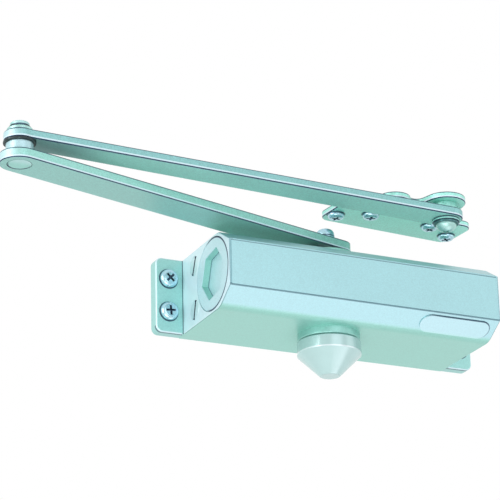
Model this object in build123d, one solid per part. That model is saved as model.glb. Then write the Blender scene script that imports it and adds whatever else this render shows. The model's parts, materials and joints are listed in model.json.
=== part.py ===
from build123d import *
import math
import os

# Door closer with its two arms and bracket plate, in millimetres and degrees.
# X runs along the body, the door is the plane Y = 0 with the front at negative Y, and Z is up.
# The origin is the middle of the four door screws on the back face.

# Body casting
body_length = 165.0
bore_radius = 18.0            # cylinder bore
bore_wall = 3.7               # above and below the cylinder bore
front_wall = 3.9              # in front of the cylinder bore
bore_to_door = 47.1           # cylinder axis
front_face_height = 26.0
panel_inset = 0.5             # from the edges of the flat front to its low panel
panel_height = 0.4
slope_depth = 14.0
slope_blend = 12.0
body_edge = 0.9
badge_length = 43.0
badge_width = 12.0
badge_height = 0.6
badge_end_gap = 4.3           # from the right end of the body

# Mounting ears and back of the casting
ear_reach = 16.0
ear_thickness = 7.2
ear_setback = 0.2             # ears are a little lower than the body
ear_corner = 3.5
ear_edge = 0.9
pocket_count = 4
pocket_width = 26.0
pocket_rim = 8.0
pocket_rib = 6.0
pocket_depth = 8.0
pocket_corner = 3.0

# Cross-recess screws
head_round = 0.7              # rounding of a pan head, as a share of its height
cross_reach = 1.1             # length of the cross recess, as a share of the head radius
cross_width = 1.3
cross_depth = 1.7
screw_thread = 0.4            # height of the thread over the plain shank under the head
screw_point = 0.5             # taper at a screw's end, as a share of its radius
screw_hole_gap = 0.25

# Door screws
screw_inset = 8.5             # from the end of the body to the screws
screw_pitch = 19.0
door_screw_radius = 2.5
door_screw_length = 16.2
door_head_radius = 5.2
door_head_height = 3.2
door_screw_turn = 20.0        # how the recesses were left after tightening
door_screw_turn_step = 25.0

# Gear, spindle and bearings
pinion_to_door = 35.0
gear_module = 1.25
gear_teeth = 16
gear_face = 19.0
pressure_angle = 20.0
backlash = 0.12
tooth_root = 1.25             # depth below the pitch line, in modules
rack_crest = 0.9              # height over the pitch line, in modules
rack_margin = 0.5             # rack narrower than the gear, on each side
rack_base = 1.0               # strip under the rack's teeth
main_arm_sweep = 150.0
shaft_radius = 8.0
square_width = 11.0
square_gap = 0.05
square_edge = 0.8
bush_margin = 0.5             # bush over the gear's tips, so that the gear passes
nut_lip = 2.75
boss_wall = 2.7
upper_boss_height = 2.1
lower_boss_height = 4.3
nut_height = 5.0
seal_width = 2.2
seal_wall = 3.5
nut_recess = 2.0
nut_recess_wall = 3.0
spanner_hole = 1.1
running_gap = 0.05
seat_gap = 0.02
end_play = 0.3

# Piston
piston_head = 12.0
piston_end_gap = 10.0
window_gap = 1.0
spring_pocket = 6.0
pocket_wall = 3.0
piston_seal_width = 2.5
piston_seal_depth = 2.4
ball_radius = 2.5
ball_lift = 1.0
ball_seat_radius = 1.8
ball_gap = 0.25
ball_clip = 1.0
ball_clip_bore = 1.3
port_clearance = 0.7          # between the check valve's port and the rack

# Spring
wire_radius = 1.8
spring_turns = 7.5
spring_gap = 1.0              # round the spring in its pockets

# End plugs
plug_lip = 2.5
plug_gap = 0.15
plug_head = 5.0
plug_length = 14.0
thread_height = 1.0
hex_width = 25.6
hex_depth = 4.4
hex_turn = 21.0
plug_floor = 3.1
plug_edge = 0.4
ring_radius = 0.8
groove_slack = 0.2            # seal groove over its ring

# Speed valves
valve_angle = 27.9            # seen from the cylinder axis
valve_wall = 1.1
valve_radius = 5.5
valve_head = 5.0
valve_stem_radius = 3.6
valve_stem = 10.5
valve_tip = 2.0
valve_point = 0.4
valve_tip_room = 1.0
valve_edge = 0.3
valve_groove = 1.5            # from the head to the seal groove
valve_slot_width = 1.0
valve_slot_depth = 1.4
valve_ring = 0.5
port_radius = 1.2
port_inset = 0.6              # from the end of the valve bore
closing_valve_turn = 24.0     # slots off upright, as they were last set
latching_valve_turn = 15.0

# Cap under the spindle
cap_radius = 17.7
cap_straight = 7.2
cap_cone = 12.0
cap_tip_radius = 5.5
cap_wall = 2.2
cap_gap = 0.4
cap_bore_gap = 1.0            # round the lower square
cap_round = 1.6
spigot_gap = 0.05

# Main arm
main_arm_length = 209.0
main_arm_angle = 15.7
main_arm_width = 20.8
main_arm_thickness = 5.5
main_arm_heel = 13.8
heel_round = 8.0
main_arm_edge = 0.5
arm_gap = 2.9                 # over the bearing boss
square_drop = 0.4
arm_screw_radius = 3.0
arm_screw_length = 16.0
arm_screw_turn = 30.0
arm_head_radius = 5.2
arm_head_height = 4.6
arm_washer_radius = 7.0
arm_washer_thickness = 1.5
lock_washer_radius = 5.3
lock_washer_thickness = 1.6
lock_washer_split = 1.0

# Elbow
elbow_pin_radius = 5.0
elbow_foot_radius = 6.2
elbow_foot = 2.2
elbow_foot_gap = 0.3
elbow_spacer_radius = 7.1
elbow_spacer_height = 5.6
elbow_washer_radius = 8.5
elbow_washer_thickness = 1.2
elbow_bush_wall = 1.4
top_washer_radius = 6.7
top_washer_thickness = 1.9
clip_radius = 5.7
clip_thickness = 1.0
clip_groove = 1.0
clip_mouth = 5.0
clip_turn = 60.0
pin_end = 2.4
pin_end_edge = 0.5
side_play = 0.1
ring_edge = 0.3

# Forearm
forearm_length = 256.0
forearm_angle = 3.5
forearm_thickness = 4.8
forearm_elbow_half = 7.8
forearm_end_half = 9.4
elbow_eye_radius = 8.3
forearm_edge = 0.8

# Shoe: the bracket plate on the frame and its pivot
shoe_angle = 5.0
shoe_thickness = 3.5
shoe_length = 86.0
shoe_depth = 28.0
shoe_back = 50.5              # from the pivot to the back edge
shoe_shift = -8.6             # middle of the plate, from the pivot
shoe_corner = 6.0
pivot_lobe = 11.3
pivot_lobe_spread = 7.0
second_lobe = 9.2
second_lobe_spread = 4.0
second_lobe_x = -26.6
second_lobe_y = 11.0
lobe_foot = 11.0
lobe_blend = 4.0
shoe_edge = 0.5
pivot_radius = 4.5
pivot_neck = 3.4
pivot_bush_wall = 1.5
pivot_spacer_radius = 6.6
pivot_spacer_height = 4.3
pivot_collar_radius = 7.6
pivot_collar_thickness = 1.5
pivot_washer_radius = 6.9
pivot_washer_thickness = 1.2
pivot_dome_radius = 5.7
pivot_dome_rim = 1.0
pivot_dome_height = 4.4
pivot_cross = 0.7             # length of the dome's cross, as a share of its radius
shoe_screw_radius = 2.5
shoe_screw_length = 12.0
shoe_head_radius = 4.7
shoe_head_height = 2.6
shoe_screw_turn = 35.0
shoe_screw_shift = -9.6       # middle of the screws, from the pivot
outer_screw_half = 37.0
outer_screw_back = 39.8
inner_screw_half = 19.7
inner_screw_back = 30.8

# Places worked out from the sizes above
half_length = body_length / 2
half_height = bore_radius + bore_wall
body_depth = bore_to_door + bore_radius + front_wall
half_front = front_face_height / 2
screw_x = half_length + screw_inset

pitch_radius = gear_module * gear_teeth / 2
tip_radius = pitch_radius + gear_module
root_radius = pitch_radius - tooth_root * gear_module
tooth_pitch = math.pi * gear_module
piston_travel = pitch_radius * math.radians(main_arm_sweep)

bush_radius = tip_radius + bush_margin
nut_radius = bush_radius + nut_lip
boss_radius = nut_radius + boss_wall
upper_boss_top = half_height + upper_boss_height
lower_boss_top = half_height + lower_boss_height
rack_face = gear_face - 2 * rack_margin

window_half = bush_radius + window_gap
piston_left = -half_length + plug_length + piston_end_gap
window_left = piston_left + piston_head
pinion_x = window_left + piston_travel + window_half
window_right = pinion_x + window_half
piston_right = window_right + piston_head
piston_radius = bore_radius - running_gap
pinion_y = -pinion_to_door
axis_y = -bore_to_door
rack_y = pinion_y - pitch_radius
window_y = rack_y - tooth_root * gear_module - rack_base
ball_y = rack_y
ball_z = rack_face / 2 + ball_seat_radius + port_clearance
spring_left = piston_right - spring_pocket
spring_right = half_length - hex_depth - plug_floor

plug_radius = bore_radius + plug_lip
thread_radius = bore_radius + thread_height
valve_reach = plug_radius + plug_gap + valve_wall + valve_radius
valve_y = axis_y + valve_reach * math.cos(math.radians(valve_angle))
valve_z = valve_reach * math.sin(math.radians(valve_angle))

arm_bottom = upper_boss_top + arm_gap
arm_top = arm_bottom + main_arm_thickness
elbow_x = pinion_x - main_arm_length * math.cos(math.radians(main_arm_angle))
elbow_y = pinion_y - main_arm_length * math.sin(math.radians(main_arm_angle))
elbow_washer_top = arm_top + elbow_spacer_height + elbow_washer_thickness
forearm_bottom = elbow_washer_top + side_play
forearm_top = forearm_bottom + forearm_thickness
shoe_x = elbow_x + forearm_length * math.cos(math.radians(forearm_angle))
shoe_y = elbow_y + forearm_length * math.sin(math.radians(forearm_angle))
shoe_bottom = forearm_top + side_play + pivot_spacer_height
shoe_top = shoe_bottom + shoe_thickness

upward = (Align.CENTER, Align.CENTER, Align.MIN)
along_x = Rot(0, 90, 0)
along_y = Rot(-90, 0, 0)
main_arm_place = Pos(pinion_x, pinion_y, 0) * Rot(0, 0, 180 + main_arm_angle)
forearm_place = Pos(elbow_x, elbow_y, 0) * Rot(0, 0, forearm_angle)
shoe_place = Pos(shoe_x, shoe_y, 0) * Rot(0, 0, shoe_angle)


def rod_x(radius, start, end, y, z):
    return Pos(start, y, z) * along_x * Cylinder(radius, end - start, align=upward)


def rod_y(radius, start, end, x, z):
    return Pos(x, start, z) * along_y * Cylinder(radius, end - start, align=upward)


def rod_z(radius, start, end, x=0, y=0):
    return Pos(x, y, start) * Cylinder(radius, end - start, align=upward)


def rod_between(radius, start, end):
    axis = Vector(*end) - Vector(*start)
    return Plane(origin=start, z_dir=axis) * Cylinder(radius, axis.length, align=upward)


def washer(outer, inner, start, end, x=0, y=0):
    return rod_z(outer, start, end, x, y) - rod_z(inner, start, end, x, y)


def turned(*outline):
    """Solid of revolution about Z from its (radius, height) corners."""
    corners = [(radius, 0, height) for radius, height in outline]
    return revolve(make_face(Polyline(*corners, close=True)), Axis.Z)


def round_edges(solid, radius, amount):
    """Fillet the circular edges of one radius."""
    circles = solid.edges().filter_by(GeomType.CIRCLE)
    return fillet(circles.filter_by(lambda edge: abs(edge.radius - radius) < 1e-4), amount)


def pan_screw(head_radius, head_height, thread_radius, grip, length):
    """Cross-recess screw: its head sits on Z = 0 and its shank, plain over the grip, points up."""
    head = rod_z(head_radius, -head_height, 0)
    head = fillet(head.edges().sort_by(Axis.Z)[0], head_round * head_height)
    plain = thread_radius - screw_thread
    taper = screw_point * thread_radius
    shank = turned(
        (0, 0), (plain, 0), (plain, grip), (thread_radius, grip), (thread_radius, length - taper),
        (thread_radius - taper, length), (0, length),
    )
    slot = Pos(0, 0, -head_height) * Box(cross_reach * head_radius, cross_width, 2 * cross_depth)
    return head + shank - slot - Rot(0, 0, 90) * slot


def body_block():
    """The long block: a flat front between two slopes, which are blended into top and bottom."""
    slope_y = -(body_depth - slope_depth)
    upper = [(0, half_height), (slope_y, half_height), (-body_depth, half_front)]
    lower_half = [(y, -z) for y, z in reversed(upper)]
    section = make_face(Polyline(*upper, *lower_half, close=True))
    corners = section.vertices().filter_by(lambda corner: abs(corner.X - slope_y) < 1e-4)
    section = Plane.YZ * fillet(corners, slope_blend)
    block = extrude(section, half_length, both=True)
    ends = block.faces().filter_by(Axis.X)
    sharp = [edge for face in ends for edge in face.edges() if edge.center().Y < -ear_thickness]
    return fillet(sharp, body_edge)


def front_rim():
    """Rim that is cut back round the flat front, which leaves the front as a low panel."""
    length = body_length - 2 * (body_edge + panel_inset)
    height = front_face_height - 2 * panel_inset
    rim = Box(body_length, 2 * panel_height, 2 * half_height)
    rim -= Box(length, 2 * panel_height, height)
    return Pos(0, -body_depth, 0) * rim


def ear():
    """Mounting ear at the right end, rounded towards the front, with its two screw holes."""
    height = 2 * (half_height - ear_setback)
    length = ear_reach + body_edge
    plate = Box(length, ear_thickness, height, align=(Align.MIN, Align.MAX, Align.CENTER))
    plate = Pos(half_length - body_edge, 0, 0) * plate
    outer = plate.faces().sort_by(Axis.X)[-1]
    plate = fillet(outer.edges().filter_by(Axis.Y), ear_corner)
    front = plate.faces().sort_by(Axis.Y)[0]
    rim = front.edges().filter_by(lambda edge: edge.center().X > half_length)
    plate = fillet(rim, ear_edge)
    for side in (-1, 1):
        hole = door_screw_radius + screw_hole_gap
        plate -= rod_y(hole, -ear_thickness, 0, screw_x, side * screw_pitch / 2)
    return plate


def bearing_boss(end):
    """Solid ring round the spindle, from the top of the body up to one height."""
    boss = rod_z(boss_radius, half_height - body_edge, end, pinion_x, pinion_y)
    return round_edges(boss, boss_radius, body_edge)


def spindle_bore():
    bore = rod_z(bush_radius + seat_gap, -lower_boss_top, upper_boss_top, pinion_x, pinion_y)
    for start in (upper_boss_top - nut_height, -lower_boss_top):
        bore += rod_z(nut_radius + seat_gap, start, start + nut_height, pinion_x, pinion_y)
    return bore


def cylinder_bore():
    """Bore from end to end, with the thread and the head seat of both plugs."""
    bore = rod_x(bore_radius, -half_length, half_length, axis_y, 0)
    for side in (-1, 1):
        seats = ((thread_radius + seat_gap, plug_length), (plug_radius + plug_gap, plug_head))
        for radius, depth in seats:
            start = min(side * half_length, side * (half_length - depth))
            bore += rod_x(radius, start, start + depth, axis_y, 0)
    return bore


def valve_bore(up):
    """Stepped bore of one speed valve and the drilled port to the cylinder."""
    start = -half_length
    tip = start + valve_head + valve_stem + valve_tip + valve_tip_room
    bore = rod_x(valve_radius + running_gap, start, start + valve_head + running_gap, valve_y, up * valve_z)
    bore += rod_x(valve_stem_radius + running_gap, start, tip, valve_y, up * valve_z)
    port_x = tip - port_inset - port_radius
    return bore + rod_between(port_radius, (port_x, valve_y, up * valve_z), (port_x, axis_y, 0))


def back_pockets():
    """Row of lightening pockets in the face against the door."""
    height = 2 * (half_height - pocket_rim)
    pocket = Plane.XZ * RectangleRounded(pocket_width, height, pocket_corner)
    cutter = extrude(pocket, pocket_depth)
    spread = GridLocations(pocket_width + pocket_rib, 0, pocket_count, 1)
    return [place * cutter for place in spread]


def badge():
    """Bare raised oval on the lower front slope, near the right end."""
    top = Vector(0, -body_depth, -half_front)
    bottom = Vector(0, -(body_depth - slope_depth), -half_height)
    outward = Vector(1, 0, 0).cross(top - bottom)
    middle = (top + bottom) * 0.5
    middle.X = half_length - badge_end_gap - badge_length / 2
    slope = Plane(origin=middle, x_dir=(1, 0, 0), z_dir=outward)
    return extrude(slope * SlotOverall(badge_length, badge_width), badge_height, both=True)


def housing():
    right_ear = ear()
    solid = body_block() + right_ear + mirror(right_ear, Plane.YZ)
    solid += bearing_boss(upper_boss_top)
    solid += lower(bearing_boss(lower_boss_top))
    solid -= cylinder_bore()
    solid -= spindle_bore()
    solid -= valve_bore(1)
    solid -= valve_bore(-1)
    solid -= back_pockets()
    solid -= front_rim()
    return solid + badge()


def end_plug(pocket):
    """Threaded plug along +Z from its outer face at Z = 0, with a hexagon socket and a seal groove."""
    seat = plug_head - seat_gap
    groove_floor = thread_radius - 2 * ring_radius
    groove_end = plug_head + 2 * ring_radius + groove_slack
    solid = turned(
        (0, 0), (plug_radius - plug_edge, 0), (plug_radius, plug_edge), (plug_radius, seat),
        (groove_floor, seat), (groove_floor, groove_end), (thread_radius, groove_end),
        (thread_radius, plug_length), (0, plug_length),
    )
    socket = RegularPolygon(hex_width / 2, 6, major_radius=False)
    solid -= extrude(Rot(0, 0, hex_turn) * socket, hex_depth)
    if pocket:
        solid -= rod_z(bore_radius - pocket_wall, hex_depth + plug_floor, plug_length)
    return solid


def seal_ring(centre_radius, section):
    return Torus(centre_radius, section - seat_gap)


def left_plug_place():
    return Pos(-half_length, axis_y, 0) * along_x


def right_plug_place():
    return Pos(half_length, axis_y, 0) * Rot(0, -90, 0)


def plug_ring():
    middle = plug_head + ring_radius + groove_slack / 2
    return Pos(0, 0, middle) * seal_ring(thread_radius - ring_radius, ring_radius)


def speed_valve():
    """Slotted valve screw along +Z from its outer face at Z = 0, with a seal groove and a needle tip."""
    groove_start = valve_head + valve_groove
    groove_floor = valve_stem_radius - 2 * valve_ring
    groove_end = groove_start + 2 * valve_ring + groove_slack
    stem_end = valve_head + valve_stem
    solid = turned(
        (0, 0), (valve_radius - valve_edge, 0), (valve_radius, valve_edge), (valve_radius, valve_head),
        (valve_stem_radius, valve_head), (valve_stem_radius, groove_start), (groove_floor, groove_start),
        (groove_floor, groove_end), (valve_stem_radius, groove_end), (valve_stem_radius, stem_end),
        (valve_point, stem_end + valve_tip), (0, stem_end + valve_tip),
    )
    return solid - Box(2 * valve_radius, valve_slot_width, 2 * valve_slot_depth)


def valve_place(up):
    turn = closing_valve_turn if up > 0 else latching_valve_turn
    return Pos(-half_length, valve_y, up * valve_z) * along_x * Rot(0, 0, turn)


def valve_seal():
    middle = valve_head + valve_groove + valve_ring + groove_slack / 2
    return Pos(0, 0, middle) * seal_ring(valve_stem_radius - valve_ring, valve_ring)


def involute(angle):
    return math.tan(angle) - angle


def flank_point(radius, tooth_angle, side):
    """Point of a tooth flank on one radius of the gear."""
    base = pitch_radius * math.cos(math.radians(pressure_angle))
    half = (tooth_pitch / 2 - backlash) / (2 * pitch_radius) + involute(math.radians(pressure_angle))
    opening = half - involute(math.acos(min(1.0, base / radius)))
    angle = tooth_angle + side * opening
    return (radius * math.cos(angle), radius * math.sin(angle))


def gear():
    """Spur gear with one tooth pointing straight at the rack."""
    base = pitch_radius * math.cos(math.radians(pressure_angle))
    step = 2 * math.pi / gear_teeth
    edges = []
    for index in range(gear_teeth):
        middle = -math.pi / 2 + index * step
        rising = [flank_point(radius, middle, -1) for radius in (base, pitch_radius, tip_radius)]
        falling = [flank_point(radius, middle, 1) for radius in (tip_radius, pitch_radius, base)]
        foot_angle = math.atan2(rising[0][1], rising[0][0])
        heel_angle = math.atan2(falling[2][1], falling[2][0])
        foot = (root_radius * math.cos(foot_angle), root_radius * math.sin(foot_angle))
        heel = (root_radius * math.cos(heel_angle), root_radius * math.sin(heel_angle))
        next_middle = middle + step / 2
        valley = (root_radius * math.cos(next_middle), root_radius * math.sin(next_middle))
        tip = (tip_radius * math.cos(middle), tip_radius * math.sin(middle))
        edges += [Line(foot, rising[0]), ThreePointArc(*rising), ThreePointArc(rising[2], tip, falling[0])]
        edges += [ThreePointArc(*falling), Line(falling[2], heel)]
        opening = heel_angle - middle
        next_angle = middle + step - opening
        next_foot = (root_radius * math.cos(next_angle), root_radius * math.sin(next_angle))
        edges.append(ThreePointArc(heel, valley, next_foot))
    return extrude(make_face(edges), gear_face / 2, both=True)


def pinion_shaft():
    """Spindle with its gear, two journals and a square at both ends, tapped at the top."""
    solid = gear() + rod_z(shaft_radius, -arm_bottom, arm_bottom)
    end = arm_top - square_drop
    square = Box(square_width, square_width, 2 * end)
    square = chamfer(square.edges().filter_by(Axis.Z), square_edge)
    solid += Rot(0, 0, main_arm_angle) * square
    solid -= rod_z(arm_screw_radius + seat_gap, end - arm_screw_length, end)
    return Pos(pinion_x, pinion_y, 0) * solid


def bearing_nut(end):
    """Ring nut in a boss, with the seal's seat inside and two spanner holes outside."""
    foot = end - nut_height
    bore = shaft_radius + 2 * running_gap
    seat = shaft_radius + seal_wall + seat_gap
    recess = bore + nut_recess_wall
    web = foot + seal_width
    ring = turned(
        (seat, foot), (nut_radius, foot), (nut_radius, end), (recess, end),
        (recess, end - nut_recess), (bore, end - nut_recess), (bore, web), (seat, web),
    )
    hole_place = (recess + nut_radius) / 2
    for side in (-1, 1):
        ring -= rod_z(spanner_hole, end - nut_recess, end, side * hole_place, 0)
    return Pos(pinion_x, pinion_y, 0) * ring


def bush(boss_end):
    start = gear_face / 2 + end_play
    end = boss_end - nut_height
    return washer(bush_radius, shaft_radius + running_gap, start, end, pinion_x, pinion_y)


def shaft_seal(boss_end):
    outer = shaft_radius + seal_wall
    start = boss_end - nut_height
    return washer(outer, shaft_radius + running_gap, start, start + seal_width, pinion_x, pinion_y)


def spindle_cap():
    """Cone cap whose spigot plugs into the lower bearing nut."""
    spigot = shaft_radius + 2 * running_gap + nut_recess_wall - spigot_gap
    bore = shaft_radius + cap_bore_gap
    rim = -lower_boss_top - cap_gap
    shoulder = rim - cap_straight
    tip = shoulder - cap_cone
    spigot_top = -lower_boss_top + nut_recess - seat_gap
    hollow = tip + cap_wall
    cone = turned(
        (0, tip), (cap_tip_radius, tip), (cap_radius, shoulder), (cap_radius, rim), (spigot, rim),
        (spigot, spigot_top), (bore, spigot_top), (bore, shoulder), (cap_tip_radius - cap_wall, hollow),
        (0, hollow),
    )
    shoulder_edges = cone.edges().filter_by(GeomType.CIRCLE)
    outer = shoulder_edges.filter_by(lambda edge: abs(edge.radius - cap_radius) < 1e-4)
    cone = fillet(outer.sort_by(Axis.Z)[-1], cap_round / 2)
    cone = round_edges(cone, cap_tip_radius, cap_round)
    return Pos(pinion_x, pinion_y, 0) * cone


def rack_teeth():
    """Rack along the window's floor, with a gap facing the gear's middle tooth."""
    rise = rack_crest * gear_module
    fall = tooth_root * gear_module
    lean = math.tan(math.radians(pressure_angle))
    half_pitch = (tooth_pitch / 2 - backlash) / 2
    floor = window_y - rack_base
    left = window_left - rack_base
    right = window_right + rack_base
    corners = [(left, floor), (left, rack_y - fall)]
    first = math.ceil((window_left - pinion_x) / tooth_pitch)
    last = math.floor((window_right - pinion_x) / tooth_pitch) - 1
    for index in range(first, last + 1):
        middle = pinion_x + (index + 0.5) * tooth_pitch
        foot = half_pitch + fall * lean
        crest = half_pitch - rise * lean
        corners += [(middle - foot, rack_y - fall), (middle - crest, rack_y + rise)]
        corners += [(middle + crest, rack_y + rise), (middle + foot, rack_y - fall)]
    corners += [(right, rack_y - fall), (right, floor)]
    return extrude(make_face(Polyline(*corners, close=True)), rack_face / 2, both=True)


def piston():
    """Piston with its gear window and rack, a spring pocket and the check valve's chamber."""
    solid = rod_x(piston_radius, piston_left, piston_right, axis_y, 0)
    depth = 2 * bore_radius
    window = Box(window_right - window_left, depth, depth, align=(Align.MIN, Align.MIN, Align.CENTER))
    solid -= Pos(window_left, window_y, 0) * window
    solid += rack_teeth()
    solid -= rod_x(bore_radius - pocket_wall, spring_left, piston_right, axis_y, 0)
    chamber = piston_left + ball_clip + ball_lift + 2 * ball_radius
    solid -= rod_x(ball_radius + ball_gap, piston_left, chamber, ball_y, ball_z)
    solid -= rod_x(ball_seat_radius, piston_left, window_left, ball_y, ball_z)
    start = piston_left + piston_head - 2 * piston_seal_width
    groove = rod_x(bore_radius, start, start + piston_seal_width, axis_y, 0)
    groove -= rod_x(piston_radius - piston_seal_depth, start, start + piston_seal_width, axis_y, 0)
    return solid - groove


def piston_seal():
    start = piston_left + piston_head - 2 * piston_seal_width
    end = start + piston_seal_width
    inner = piston_radius - piston_seal_depth
    return rod_x(piston_radius, start, end, axis_y, 0) - rod_x(inner, start, end, axis_y, 0)


def check_ball():
    """Steel ball, resting on the edge of its seat."""
    chamber = piston_left + ball_clip + ball_lift + 2 * ball_radius
    stand_off = math.sqrt(ball_radius**2 - ball_seat_radius**2) + seat_gap
    return Pos(chamber - stand_off, ball_y, ball_z) * Sphere(ball_radius)


def check_ball_retainer():
    end = piston_left + ball_clip
    ring = rod_x(ball_radius + ball_gap - seat_gap, piston_left, end, ball_y, ball_z)
    return ring - rod_x(ball_clip_bore, piston_left, end, ball_y, ball_z)


def closer_spring():
    """Compression spring between the piston's pocket and the right plug's pocket."""
    radius = bore_radius - pocket_wall - wire_radius - spring_gap
    length = spring_right - spring_left - 2 * wire_radius - 2 * seat_gap
    path = Helix(length / spring_turns, length, radius)
    wire = Plane(origin=path @ 0, z_dir=path % 0) * Circle(wire_radius)
    coil = sweep(wire, path=path, is_frenet=True)
    return Pos(spring_left + wire_radius + seat_gap, axis_y, 0) * along_x * coil


def mounting_screws():
    head = (door_head_radius, door_head_height)
    screw = pan_screw(*head, door_screw_radius, ear_thickness, door_screw_length)
    placed = []
    for side in (-1, 1):
        for up in (-1, 1):
            turn = Rot(0, 0, door_screw_turn + door_screw_turn_step * up)
            place = Pos(side * screw_x, -ear_thickness, up * screw_pitch / 2) * along_y
            placed.append(place * turn * screw)
    return Compound(children=placed)


def main_arm():
    """Flat arm with a square hole at its heel and a stepped hole for the elbow pin."""
    length = main_arm_length + main_arm_heel
    heel = Pos(main_arm_length - length / 2, 0) * Rectangle(length, main_arm_width)
    corners = heel.vertices().filter_by(lambda corner: corner.X < 0)
    outline = fillet(corners, heel_round) + Pos(main_arm_length, 0) * Circle(main_arm_width / 2)
    bar = extrude(Pos(0, 0, arm_bottom) * outline, main_arm_thickness)
    rims = bar.faces().filter_by(Axis.Z).edges()
    bar = fillet(rims, main_arm_edge)
    hole = square_width + 2 * square_gap
    bar -= Pos(0, 0, arm_bottom) * Box(hole, hole, main_arm_thickness, align=upward)
    bar -= rod_z(elbow_pin_radius + seat_gap, arm_bottom, arm_top, main_arm_length)
    bar -= rod_z(elbow_foot_radius + elbow_foot_gap, arm_bottom, arm_bottom + elbow_foot, main_arm_length)
    return main_arm_place * bar


def arm_screw():
    stack = arm_washer_thickness + lock_washer_thickness
    head = (arm_head_radius, arm_head_height)
    screw = pan_screw(*head, arm_screw_radius, stack + square_drop, arm_screw_length)
    return Pos(pinion_x, pinion_y, arm_top + stack) * Rot(180, 0, 0) * Rot(0, 0, arm_screw_turn) * screw


def arm_screw_washer():
    bore = arm_screw_radius + screw_hole_gap
    ring = washer(arm_washer_radius, bore, arm_top, arm_top + arm_washer_thickness, pinion_x, pinion_y)
    return round_edges(ring, arm_washer_radius, ring_edge)


def arm_lock_washer():
    """Split ring under the screw's head."""
    start = arm_top + arm_washer_thickness
    ring = washer(lock_washer_radius, arm_screw_radius + screw_hole_gap, start, start + lock_washer_thickness)
    split = Box(lock_washer_radius, lock_washer_split, lock_washer_thickness,
                align=(Align.MIN, Align.CENTER, Align.MIN))
    return Pos(pinion_x, pinion_y, 0) * (ring - Pos(0, 0, start) * split)


def elbow_pin():
    """Rivet pin: a flush foot under the main arm and a grooved end above the forearm."""
    groove = forearm_top + side_play + top_washer_thickness
    end = groove + clip_thickness + pin_end
    neck = elbow_pin_radius - clip_groove
    foot_top = arm_bottom + elbow_foot
    pin = turned(
        (0, arm_bottom), (elbow_foot_radius, arm_bottom), (elbow_foot_radius, foot_top),
        (elbow_pin_radius, foot_top), (elbow_pin_radius, groove), (neck, groove),
        (neck, groove + clip_thickness), (elbow_pin_radius, groove + clip_thickness),
        (elbow_pin_radius, end - pin_end_edge), (elbow_pin_radius - pin_end_edge, end), (0, end),
    )
    return Pos(elbow_x, elbow_y, 0) * pin


def elbow_ring(radius, start, thickness):
    ring = washer(radius, elbow_pin_radius + seat_gap, start, start + thickness, elbow_x, elbow_y)
    return round_edges(ring, radius, ring_edge)


def elbow_retaining_ring():
    """Open clip in the pin's groove."""
    start = forearm_top + side_play + top_washer_thickness
    neck = elbow_pin_radius - clip_groove + seat_gap
    ring = washer(clip_radius, neck, start, start + clip_thickness)
    mouth = Box(clip_radius, clip_mouth, clip_thickness, align=(Align.MIN, Align.CENTER, Align.MIN))
    ring -= Pos(0, 0, start) * mouth
    return main_arm_place * Pos(main_arm_length, 0, 0) * Rot(0, 0, clip_turn) * ring


def forearm():
    """Flat arm that widens towards the shoe, with a bearing eye at both ends."""
    rounds = Circle(forearm_elbow_half).edges() + (Pos(forearm_length, 0) * Circle(forearm_end_half)).edges()
    outline = make_hull(rounds) + Circle(elbow_eye_radius)
    bar = extrude(Pos(0, 0, forearm_bottom) * outline, forearm_thickness)
    bar = fillet(bar.faces().filter_by(Axis.Z).edges(), forearm_edge)
    elbow_hole = elbow_pin_radius + running_gap + elbow_bush_wall + seat_gap
    pivot_hole = pivot_radius + running_gap + pivot_bush_wall + seat_gap
    bar -= rod_z(elbow_hole, forearm_bottom, forearm_top)
    bar -= rod_z(pivot_hole, forearm_bottom, forearm_top, forearm_length)
    return forearm_place * bar


def elbow_bush():
    inner = elbow_pin_radius + running_gap
    return washer(inner + elbow_bush_wall, inner, forearm_bottom, forearm_top, elbow_x, elbow_y)


def forearm_end_bush():
    inner = pivot_radius + running_gap
    return washer(inner + pivot_bush_wall, inner, forearm_bottom, forearm_top, shoe_x, shoe_y)


def shoe_screw_spots():
    """Plan places of the four frame screws, from the pivot."""
    outer = [(shoe_screw_shift + side * outer_screw_half, outer_screw_back) for side in (-1, 1)]
    inner = [(shoe_screw_shift + side * inner_screw_half, inner_screw_back) for side in (-1, 1)]
    return outer + inner


def shoe_lobe(x, y, radius, spread):
    """Rounded tongue from the plate's strip out to one point."""
    strip_y = shoe_back - shoe_depth / 2
    rounds = (Pos(x, y) * Circle(radius)).edges()
    for side in (-1, 1):
        rounds += (Pos(x + side * spread, strip_y) * Circle(lobe_foot)).edges()
    return make_hull(rounds)


def shoe_plate():
    """Bracket plate: a strip with four screw holes and two tongues, one of them at the pivot."""
    strip = RectangleRounded(shoe_length, shoe_depth, shoe_corner)
    outline = Pos(shoe_shift, shoe_back - shoe_depth / 2) * strip
    outline += shoe_lobe(0, 0, pivot_lobe, pivot_lobe_spread)
    outline += shoe_lobe(second_lobe_x, second_lobe_y, second_lobe, second_lobe_spread)
    outline = offset(offset(outline, lobe_blend), -lobe_blend)
    plate = extrude(Pos(0, 0, shoe_bottom) * outline, shoe_thickness)
    plate = fillet(plate.faces().filter_by(Axis.Z).edges(), shoe_edge)
    for x, y in shoe_screw_spots():
        plate -= rod_z(shoe_screw_radius + screw_hole_gap, shoe_bottom, shoe_top, x, y)
    plate -= rod_z(pivot_neck + seat_gap, shoe_bottom, shoe_top)
    return shoe_place * plate


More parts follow.
